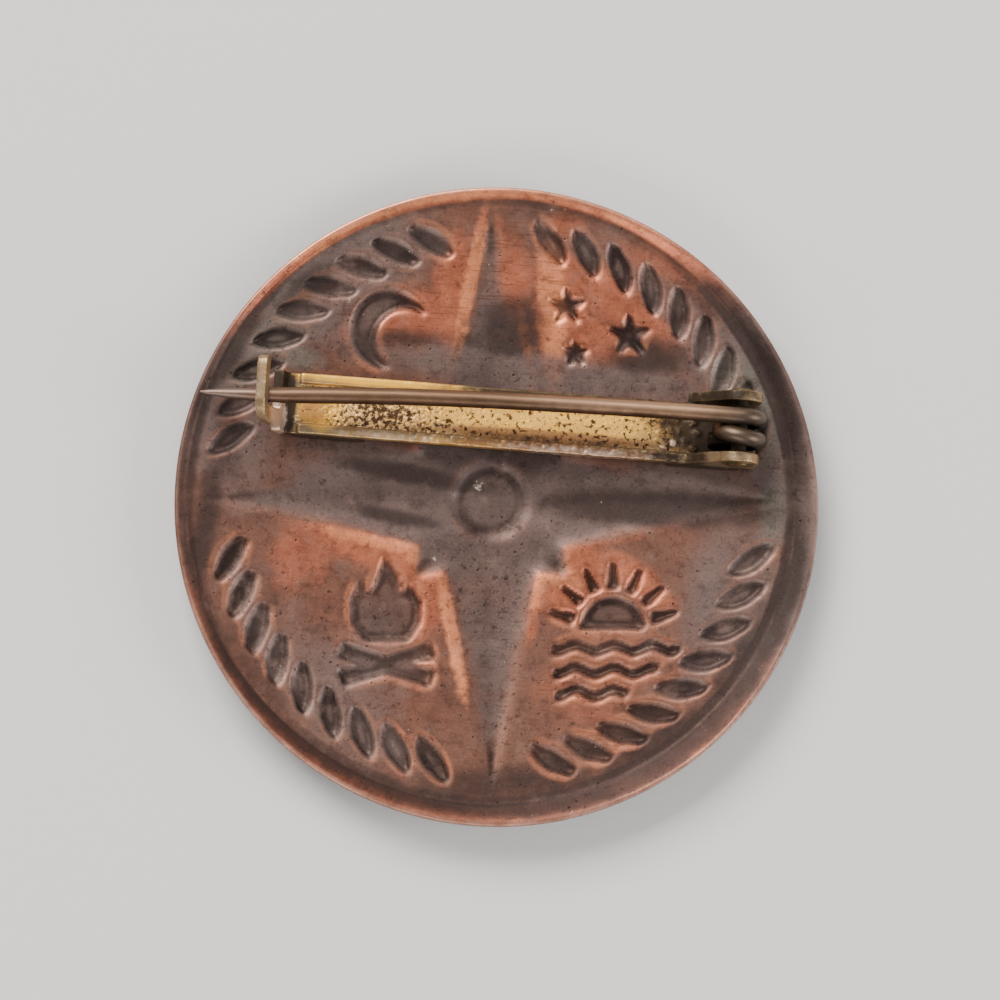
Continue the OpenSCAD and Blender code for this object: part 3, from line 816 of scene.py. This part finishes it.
# The floor is pitted deepest towards the hook, and finely rough from there on. Each zone:
# name, which vertices, size of its grain, depth.
for name, chosen, size, depth in [
    ("pitted_floor", pitted, 0.19 * mm, 0.22 * mm),
    ("rough_floor", in_trough & ~pitted & right_of_hook, 0.14 * mm, 0.08 * mm),
    ("crusted_flange", on_flange, 0.42 * mm, 0.14 * mm),
    ("uneven_lumps", on_lumps, 0.3 * mm, 0.14 * mm),
]:
    zone = channel.vertex_groups.new(name=name)
    zone.add([int(i) for i in np.flatnonzero(chosen)], 1, "REPLACE")
    shaped_by(
        channel, "DISPLACE", texture=soft_noise(name, size), strength=depth, mid_level=0.55,
        direction="Z", texture_coords="LOCAL", vertex_group=name,
    )
shaped_by(
    channel, "DISPLACE", texture=soft_noise("worn_strip", 1.9 * mm), strength=0.07 * mm,
    mid_level=0.5, direction="NORMAL", texture_coords="LOCAL",
)
channel.vertex_groups.clear()


def relief_of(piece, passes, depth):
    """How far each vertex stands out of its surroundings, as a share of depth."""
    evened = piece.copy()
    evened.data = piece.data.copy()
    bpy.context.collection.objects.link(evened)
    shaped_by(evened, "SMOOTH", factor=0.5, iterations=passes)
    out = ((places(piece) - places(evened)) * normals_of(piece)).sum(1) / depth
    bpy.data.objects.remove(evened)
    return out


relief = relief_of(channel, 10, crease_depth)
paint(channel, "brow", relief)
paint(channel, "crease", -relief)
rows = places(channel)
# Patches as on the disc: (x, y, half length, half width, turn, strength).
# Browned metal, and painted shade in the gap at the hook's neck, beside the folded tab and along the lower
# edge of the floor.
browned_and_shaded_patches = [
    (12.6, 5.35, 3.7, 1.55, 0, 1.0), (12.6, 7.2, 2.3, 0.6, 0, 0.76), (13.4, 3.5, 2.6, 0.4, 0, 0.15),
    (5.2, 6.75, 8.2, 0.9, 0, 1.0), (3.0, 3.95, 6.6, 0.4, 0, 0.5), (-12.62, 5.0, 0.36, 2.2, 0, 1.0),
    (-13.1, 6.4, 0.8, 1.0, 0, 1.0), (9.8, 3.5, 1.6, 0.4, 0, 0.7), (11.4, 3.4, 0.9, 0.6, 0, 0.76),
    (-14.4, 8.0, 1.2, 0.5, 0, 0.8),
]
gold_patches = [
    (1.8, 5.3, 7.8, 1.3, 0, 1.0), (-10.6, 5.0, 1.6, 1.3, 0, 0.9), (-7.5, 6.8, 5.2, 0.5, 0, 0.9),
    (-3.0, 3.4, 8.0, 0.3, 0, 0.5),
]
# Pale solder and pale metal, and on the hook's neck a painted highlight.
pale_and_highlight_patches = [
    (-13.3, 4.2, 0.5, 1.3, 0, 1.0), (-7.0, 3.5, 5.0, 0.3, 0, 0.5), (4.6, 3.45, 5.6, 0.3, 0, 0.56),
    (-14.5, 5.2, 0.7, 1.6, 0, 0.35), (13.6, 3.4, 1.6, 0.4, 0, 0.3), (10.1, 4.4, 0.24, 0.24, 0, 0.85),
    (9.5, 4.1, 0.18, 0.18, 0, 0.85),
]
# Dark pits in the floor, most of them towards the hook.
pit_patches = [(-7.2, 4.7, 3.1, 1.4, 0, 1.0), (-3.4, 4.3, 1.4, 0.5, 0, 0.9)]
# How rough the rest of the floor is: (x in millimetres, share).
floor_rough = [(-11.4, 0.5), (-9.6, 0.68)]
# Mauve stains, and a painted shadow along the lower strip of the floor.
mauve_and_shadow_patches = [
    (2.4, 4.25, 6.6, 0.35, 0, 1.0), (3.0, 3.5, 7.5, 0.5, 0, 0.75), (-11.2, 5.0, 1.0, 1.2, 0, 0.7),
    (-14.3, 4.6, 0.5, 0.8, 0, 0.4),
]
# All that lies lower than the floor is darkened, as painted shade.
low = rows[:, 2] < channel_z - 0.25 * mm
paint(channel, "browned_and_shaded", np.maximum(patch_strength(rows, browned_and_shaded_patches), 0.9 * low))
paint(channel, "gold", patch_strength(rows, gold_patches))
paint(channel, "pale_and_highlight", patch_strength(rows, pale_and_highlight_patches))
pitting = np.maximum(patch_strength(rows, pit_patches), read_off(floor_rough, rows[:, 0] / mm))
paint(channel, "pitted", in_trough * pitting)
paint(channel, "mauve_and_shadow", patch_strength(rows, mauve_and_shadow_patches))

# The brass from its ground up: dull yellow, gold where it is clean, mauve and brown stains
# with painted shade among them, pale solder with a painted highlight on the hook's neck,
# dirt and painted shade in the creases, painted highlights on the brows and crumbs, and dark pits.
brass, tree, shader, where = start_finish("worn_brass")
mottle = cloudy(tree, where, 1500.0, 5, 0.6)
grain = cloudy(tree, where, 7000.0, 3, 0.6)
gold_mask = ragged_mask(tree, where, painted(tree, "gold"), scale=900.0, raggedness=0.6, softness=0.35)
browned_and_shaded_mask = ragged_mask(
    tree, where, painted(tree, "browned_and_shaded"),
    scale=1500.0, raggedness=1.1, softness=0.24,
)
pale_and_highlight_mask = ragged_mask(tree, where, painted(tree, "pale_and_highlight"), scale=2400.0, raggedness=0.9, softness=0.2)
pits = ragged_mask(
    tree, where, between(tree, painted(tree, "pitted"), 0.0, 0.57),
    scale=3500.0, raggedness=1.8, softness=0.07,
)
colour = tinted(tree, mottle, tone(118, 100, 74), tone(182, 154, 118))
gold = tinted(tree, mottle, tone(255, 166, 42), tone(255, 208, 80))
colour = tinted(tree, gold_mask, colour, gold)
# The gold is tarnished in streaks along the strip.
along = add(tree, "VectorMath", {0: where, 1: (0.3, 1, 1)}, operation="MULTIPLY").outputs[0]
tarnish = spread(tree, cloudy(tree, along, 1500.0, 4, 0.6), 0.47, 0.64)
colour = laid_on(tree, colour, tone(158, 100, 46), tarnish, 0.34)
near_pits = spread(tree, painted(tree, "pitted"), 0.5, 0.9)
# Pale crumbs round the pits, lightened further as a painted highlight.
colour = laid_on(tree, colour, tone(255, 196, 120), near_pits, 0.8)
mauve_and_shadow_mask = ragged_mask(
    tree, where, painted(tree, "mauve_and_shadow"),
    scale=1800.0, raggedness=0.7, softness=0.3,
)
# Mauve stains and painted shadow.
colour = laid_on(tree, colour, tone(140, 92, 68), mauve_and_shadow_mask, 0.75)
# Browned metal and painted shade.
colour = laid_on(tree, colour, tone(38, 27, 20), browned_and_shaded_mask, 0.94)
# Pale solder and metal, and a painted highlight.
colour = laid_on(tree, colour, tone(238, 204, 178), pale_and_highlight_mask, 0.83)
in_crease = spread(tree, painted(tree, "crease"), 0.15, 0.9)
on_brow = spread(tree, painted(tree, "brow"), 0.25, 0.95)
# Dirt and painted shade in the creases.
colour = laid_on(tree, colour, tone(58, 42, 28), in_crease, 0.7)
blotched = spread(tree, mottle, 0.4, 0.6)
# Wear and a painted highlight on the brows.
brow_wear_and_highlight = sum_up(tree, "MULTIPLY", on_brow, between(tree, blotched, 0.2, 0.65))
brow_wear_and_highlight = sum_up(tree, "MULTIPLY", brow_wear_and_highlight, between(tree, browned_and_shaded_mask, 1.0, 0.35))
colour = tinted(tree, brow_wear_and_highlight, colour, tone(248, 200, 140))
colour = laid_on(tree, colour, tone(50, 27, 14), pits, 0.94)
grains = tinted(tree, grain, tone(110, 110, 110), tone(255, 255, 255))
fine = tinted(tree, between(tree, gold_mask, 0.5, 0.3), colour, grains, "MULTIPLY")
feed(tree, fine, shader.inputs["Base Color"])
metal = between(tree, near_pits, between(tree, gold_mask, 0.7, 0.3), 0.25)
metal = between(tree, browned_and_shaded_mask, metal, 0.3)
feed(tree, metal, shader.inputs["Metallic"])
shader.inputs["Specular IOR Level"].default_value = 0.25
rough = between(tree, near_pits, 0.36, 0.26)
feed(tree, between(tree, browned_and_shaded_mask, rough, 0.5), shader.inputs["Roughness"])
# The floor of the trough is grainier than the rest of the strip.
grit = sum_up(tree, "MULTIPLY", grain, between(tree, painted(tree, "pitted"), 1.0, 3.4))
bumps = sum_up(tree, "SUBTRACT", grit, sum_up(tree, "MULTIPLY", pits, 0.9))
bump = add(tree, "Bump", {"Height": bumps, "Strength": 0.6, "Distance": 0.02 * mm})
feed(tree, bump.outputs[0], shader.inputs["Normal"])
channel.data.materials.append(brass)
only(channel)
bpy.ops.object.shade_smooth()
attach(channel, "badge")
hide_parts("brooch_channel")


# Hinge rivet. A short brass wire through both ears, its ends hammered over into low domes,
# dull and dark with age.
hinge = Vector((13.84, 5.375, 4.5864)) * mm
rivet_r, head_r, head_t = 0.45 * mm, 0.65 * mm, 0.2 * mm
rivet_half = 2.155 * mm
bpy.ops.object.select_all(action="DESELECT")
bpy.ops.mesh.primitive_cylinder_add(vertices=48, radius=rivet_r, depth=2 * rivet_half, location=hinge)
rivet = bpy.context.object
rivet.name = "peened_rivet"
bpy.ops.transform.rotate(value=math.pi / 2, orient_axis="X", center_override=hinge)
bpy.ops.object.transform_apply(location=True, rotation=True, scale=True)
# Each step of a head, as shares of its height and of its radius.
head_steps = [(0.0, 1), (0.45, 1), (0.8, 0.82), (0.95, 0.55), (1.0, 0.25)]
for side in (-1, 1):
    bpy.ops.object.mode_set(mode="EDIT")
    bpy.ops.mesh.select_mode(type="FACE")
    bpy.ops.mesh.select_all(action="DESELECT")
    bpy.ops.object.mode_set(mode="OBJECT")
    for cap in rivet.data.polygons:
        cap.select = cap.normal.y * side > 0.9
    bpy.ops.object.mode_set(mode="EDIT")
    out, wide = 0, rivet_r
    for height_share, radius_share in head_steps:
        new_out, new_wide = height_share * head_t, radius_share * head_r
        step = (new_out - out) * side
        bpy.ops.mesh.extrude_region_move(TRANSFORM_OT_translate={"value": (0, step, 0)})
        end_y = hinge.y + side * (rivet_half + new_out)
        grow = new_wide / wide
        bpy.ops.transform.resize(
            value=(grow, 1, grow), center_override=(hinge.x, end_y, hinge.z)
        )
        out, wide = new_out, new_wide
    bpy.ops.object.mode_set(mode="OBJECT")
bpy.ops.object.shade_smooth_by_angle(angle=math.radians(50))
dark_brass, tree, shader, where = start_finish("dull_rivet")
# Between the ears, this far from its middle, the rivet is darkened nearly black, as painted shade.
shaded_half, unshaded_half = 1.45 * mm, 1.8 * mm
across = add(tree, "SeparateXYZ", {0: where}).outputs["Y"]
off_middle = sum_up(tree, "ABSOLUTE", sum_up(tree, "SUBTRACT", across, hinge.y), 0)
shaded_middle = spread(tree, off_middle, unshaded_half, shaded_half)
mottle = cloudy(tree, where, 2600.0, 5, 0.6)
colour = tinted(tree, mottle, tone(62, 50, 32), tone(122, 102, 70))
colour = laid_on(tree, colour, tone(30, 24, 17), shaded_middle, 0.8)
feed(tree, colour, shader.inputs["Base Color"])
feed(tree, between(tree, shaded_middle, 0.7, 0.1), shader.inputs["Metallic"])
shader.inputs["Specular IOR Level"].default_value = 0.25
rough = between(tree, shaded_middle, between(tree, mottle, 0.35, 0.55), 0.9)
feed(tree, rough, shader.inputs["Roughness"])
bump = add(tree, "Bump", {"Height": mottle, "Strength": 0.5, "Distance": 0.02 * mm})
feed(tree, bump.outputs[0], shader.inputs["Normal"])
rivet.data.materials.append(dark_brass)
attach(rivet, "rivet")
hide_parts("hinge_rivet")


# Wire pin. One length of 1 mm drawn wire, coiled one and a half turns round the rivet and
# ground to a point at the other end. It is browned, with a painted highlight along its top
# and painted shade below.
wire_r = 0.5 * mm
coil_r = 1.15 * mm
# How far the point is from the rivet, in millimetres, and how far the wire falls in each.
pin_reach, pin_fall = 31.8, 0.021
tail_l = 1.7 * mm
# Where along the rivet the coil starts and ends, in millimetres, and how far it turns.
coil_start_y, coil_end_y = 5.95, 4.68
coil_degrees = 540
# The straight part: share of the reach, sideways place in millimetres, share of the radius.
shaft = [
    (1, 5, 0.1), (0.985, 5, 0.3), (0.95, 5.02, 0.58), (0.9, 5.07, 0.8), (0.85, 5.14, 0.94),
    (0.79, 5.28, 1), (0.7, 5.46, 1), (0.62, 5.59, 1), (0.54, 5.69, 1), (0.46, 5.77, 1),
    (0.37, 5.83, 1), (0.28, 5.88, 1), (0.18, 5.92, 1), (0.09, coil_start_y, 1),
]
line = [
    (hinge.x - share * pin_reach * mm, y * mm,
     hinge.z + coil_r - pin_fall * share * pin_reach * mm, width)
    for share, y, width in shaft
]
for degrees in range(0, coil_degrees + 1, 6):
    turn = math.radians(degrees)
    # The wire crosses over in the middle of the coil and runs straight round at its ends.
    across = min(1, max(0, (degrees - 105) / 300))
    y = coil_start_y + (coil_end_y - coil_start_y) * across * across * (3 - 2 * across)
    line.append((hinge.x + coil_r * math.sin(turn), y * mm, hinge.z + coil_r * math.cos(turn), 1))
line.append((hinge.x - tail_l / 2, coil_end_y * mm, hinge.z - coil_r, 1))
line.append((hinge.x - tail_l, coil_end_y * mm, hinge.z - coil_r, 0.97))
wire = bpy.data.curves.new("pin_wire", "CURVE")
wire.dimensions = "3D"
wire.bevel_depth = wire_r
wire.bevel_resolution = 6
wire.use_fill_caps = True
path = wire.splines.new("POLY")
path.points.add(len(line) - 1)
for point, (x, y, z, width) in zip(path.points, line):
    point.co = (x, y, z, 1)
    point.radius = width
pin = bpy.data.objects.new("coiled_pin", wire)
bpy.context.collection.objects.link(pin)
only(pin)
bpy.ops.object.convert(target="MESH")
pin = bpy.context.object
bpy.ops.object.mode_set(mode="EDIT")
bpy.ops.mesh.select_all(action="SELECT")
bpy.ops.mesh.remove_doubles(threshold=1e-7)
bpy.ops.mesh.normals_make_consistent(inside=False)
bpy.ops.object.mode_set(mode="OBJECT")
bpy.ops.object.shade_smooth_by_angle(angle=math.radians(50))
rows, facing = places(pin), normals_of(pin)
# The point is paler, as a painted reflection, and the coil is greyer.
tip_x, coil_x = -13.6 * mm, 11 * mm
paint(pin, "tip", (tip_x - rows[:, 0]) / (2 * mm))
paint(pin, "coil", (rows[:, 0] - coil_x) / (2 * mm))
# The top of the wire and the side away from the trough are painted lighter, as a painted
# highlight, and the rest darker, as painted shade.
paint(pin, "lit_side", 0.15 + 0.55 * facing[:, 2] + 0.5 * facing[:, 1])
# Painted shade darkens the under side of the coil and its short tail.
paint(pin, "shaded_underside", (hinge.z - 0.3 * mm - rows[:, 2]) / (0.25 * mm) * (rows[:, 0] > coil_x))
# Towards the hinge the painted highlight is lighter.
paint(pin, "lighter", (rows[:, 0] + 1 * mm) / (7 * mm))

bronze, tree, shader, where = start_finish("browned_wire")
along = add(tree, "VectorMath", {0: where, 1: (0.05, 1, 1)}, operation="MULTIPLY").outputs[0]
drawn_lines = cloudy(tree, along, 6000.0, 3, 0.5)
mottle = cloudy(tree, where, 1000.0, 5, 0.65)
dull = tinted(tree, mottle, tone(52, 34, 22), tone(104, 74, 52))
bright = tinted(tree, painted(tree, "lighter"), tone(128, 98, 75), tone(184, 146, 116))
lit_side = ragged_mask(tree, where, painted(tree, "lit_side"), scale=900.0, raggedness=0.7, softness=0.45)
# Painted highlight on the top and outer side, painted shade below.
colour = tinted(tree, lit_side, dull, bright)
stained = ragged_mask(tree, along, 0.34, scale=2600.0, raggedness=1.5, softness=0.25)
colour = laid_on(tree, colour, tone(84, 62, 44), stained, 0.45)
clouded = ragged_mask(tree, where, 0.3, scale=520.0, raggedness=1.5, softness=0.3)
colour = laid_on(tree, colour, tone(140, 112, 106), clouded, 0.3)
# The point is lightened as a painted reflection.
colour = laid_on(tree, colour, tone(140, 120, 111), painted(tree, "tip"), 0.65)
colour = laid_on(tree, colour, tone(73, 66, 59), painted(tree, "coil"), 0.78)
# Painted shade under the coil.
colour = laid_on(tree, colour, tone(32, 24, 18), painted(tree, "shaded_underside"), 0.85)
lines_tone = tinted(tree, drawn_lines, tone(90, 80, 70), tone(255, 250, 240))
colour = tinted(tree, 0.5, colour, lines_tone, "MULTIPLY")
feed(tree, colour, shader.inputs["Base Color"])
shader.inputs["Metallic"].default_value = 0.8
feed(tree, between(tree, mottle, 0.34, 0.52), shader.inputs["Roughness"])
bump = add(tree, "Bump", {"Height": drawn_lines, "Strength": 0.5, "Distance": 0.01 * mm})
feed(tree, bump.outputs[0], shader.inputs["Normal"])
pin.data.materials.append(bronze)
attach(pin, "pin")
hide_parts("wire_pin")
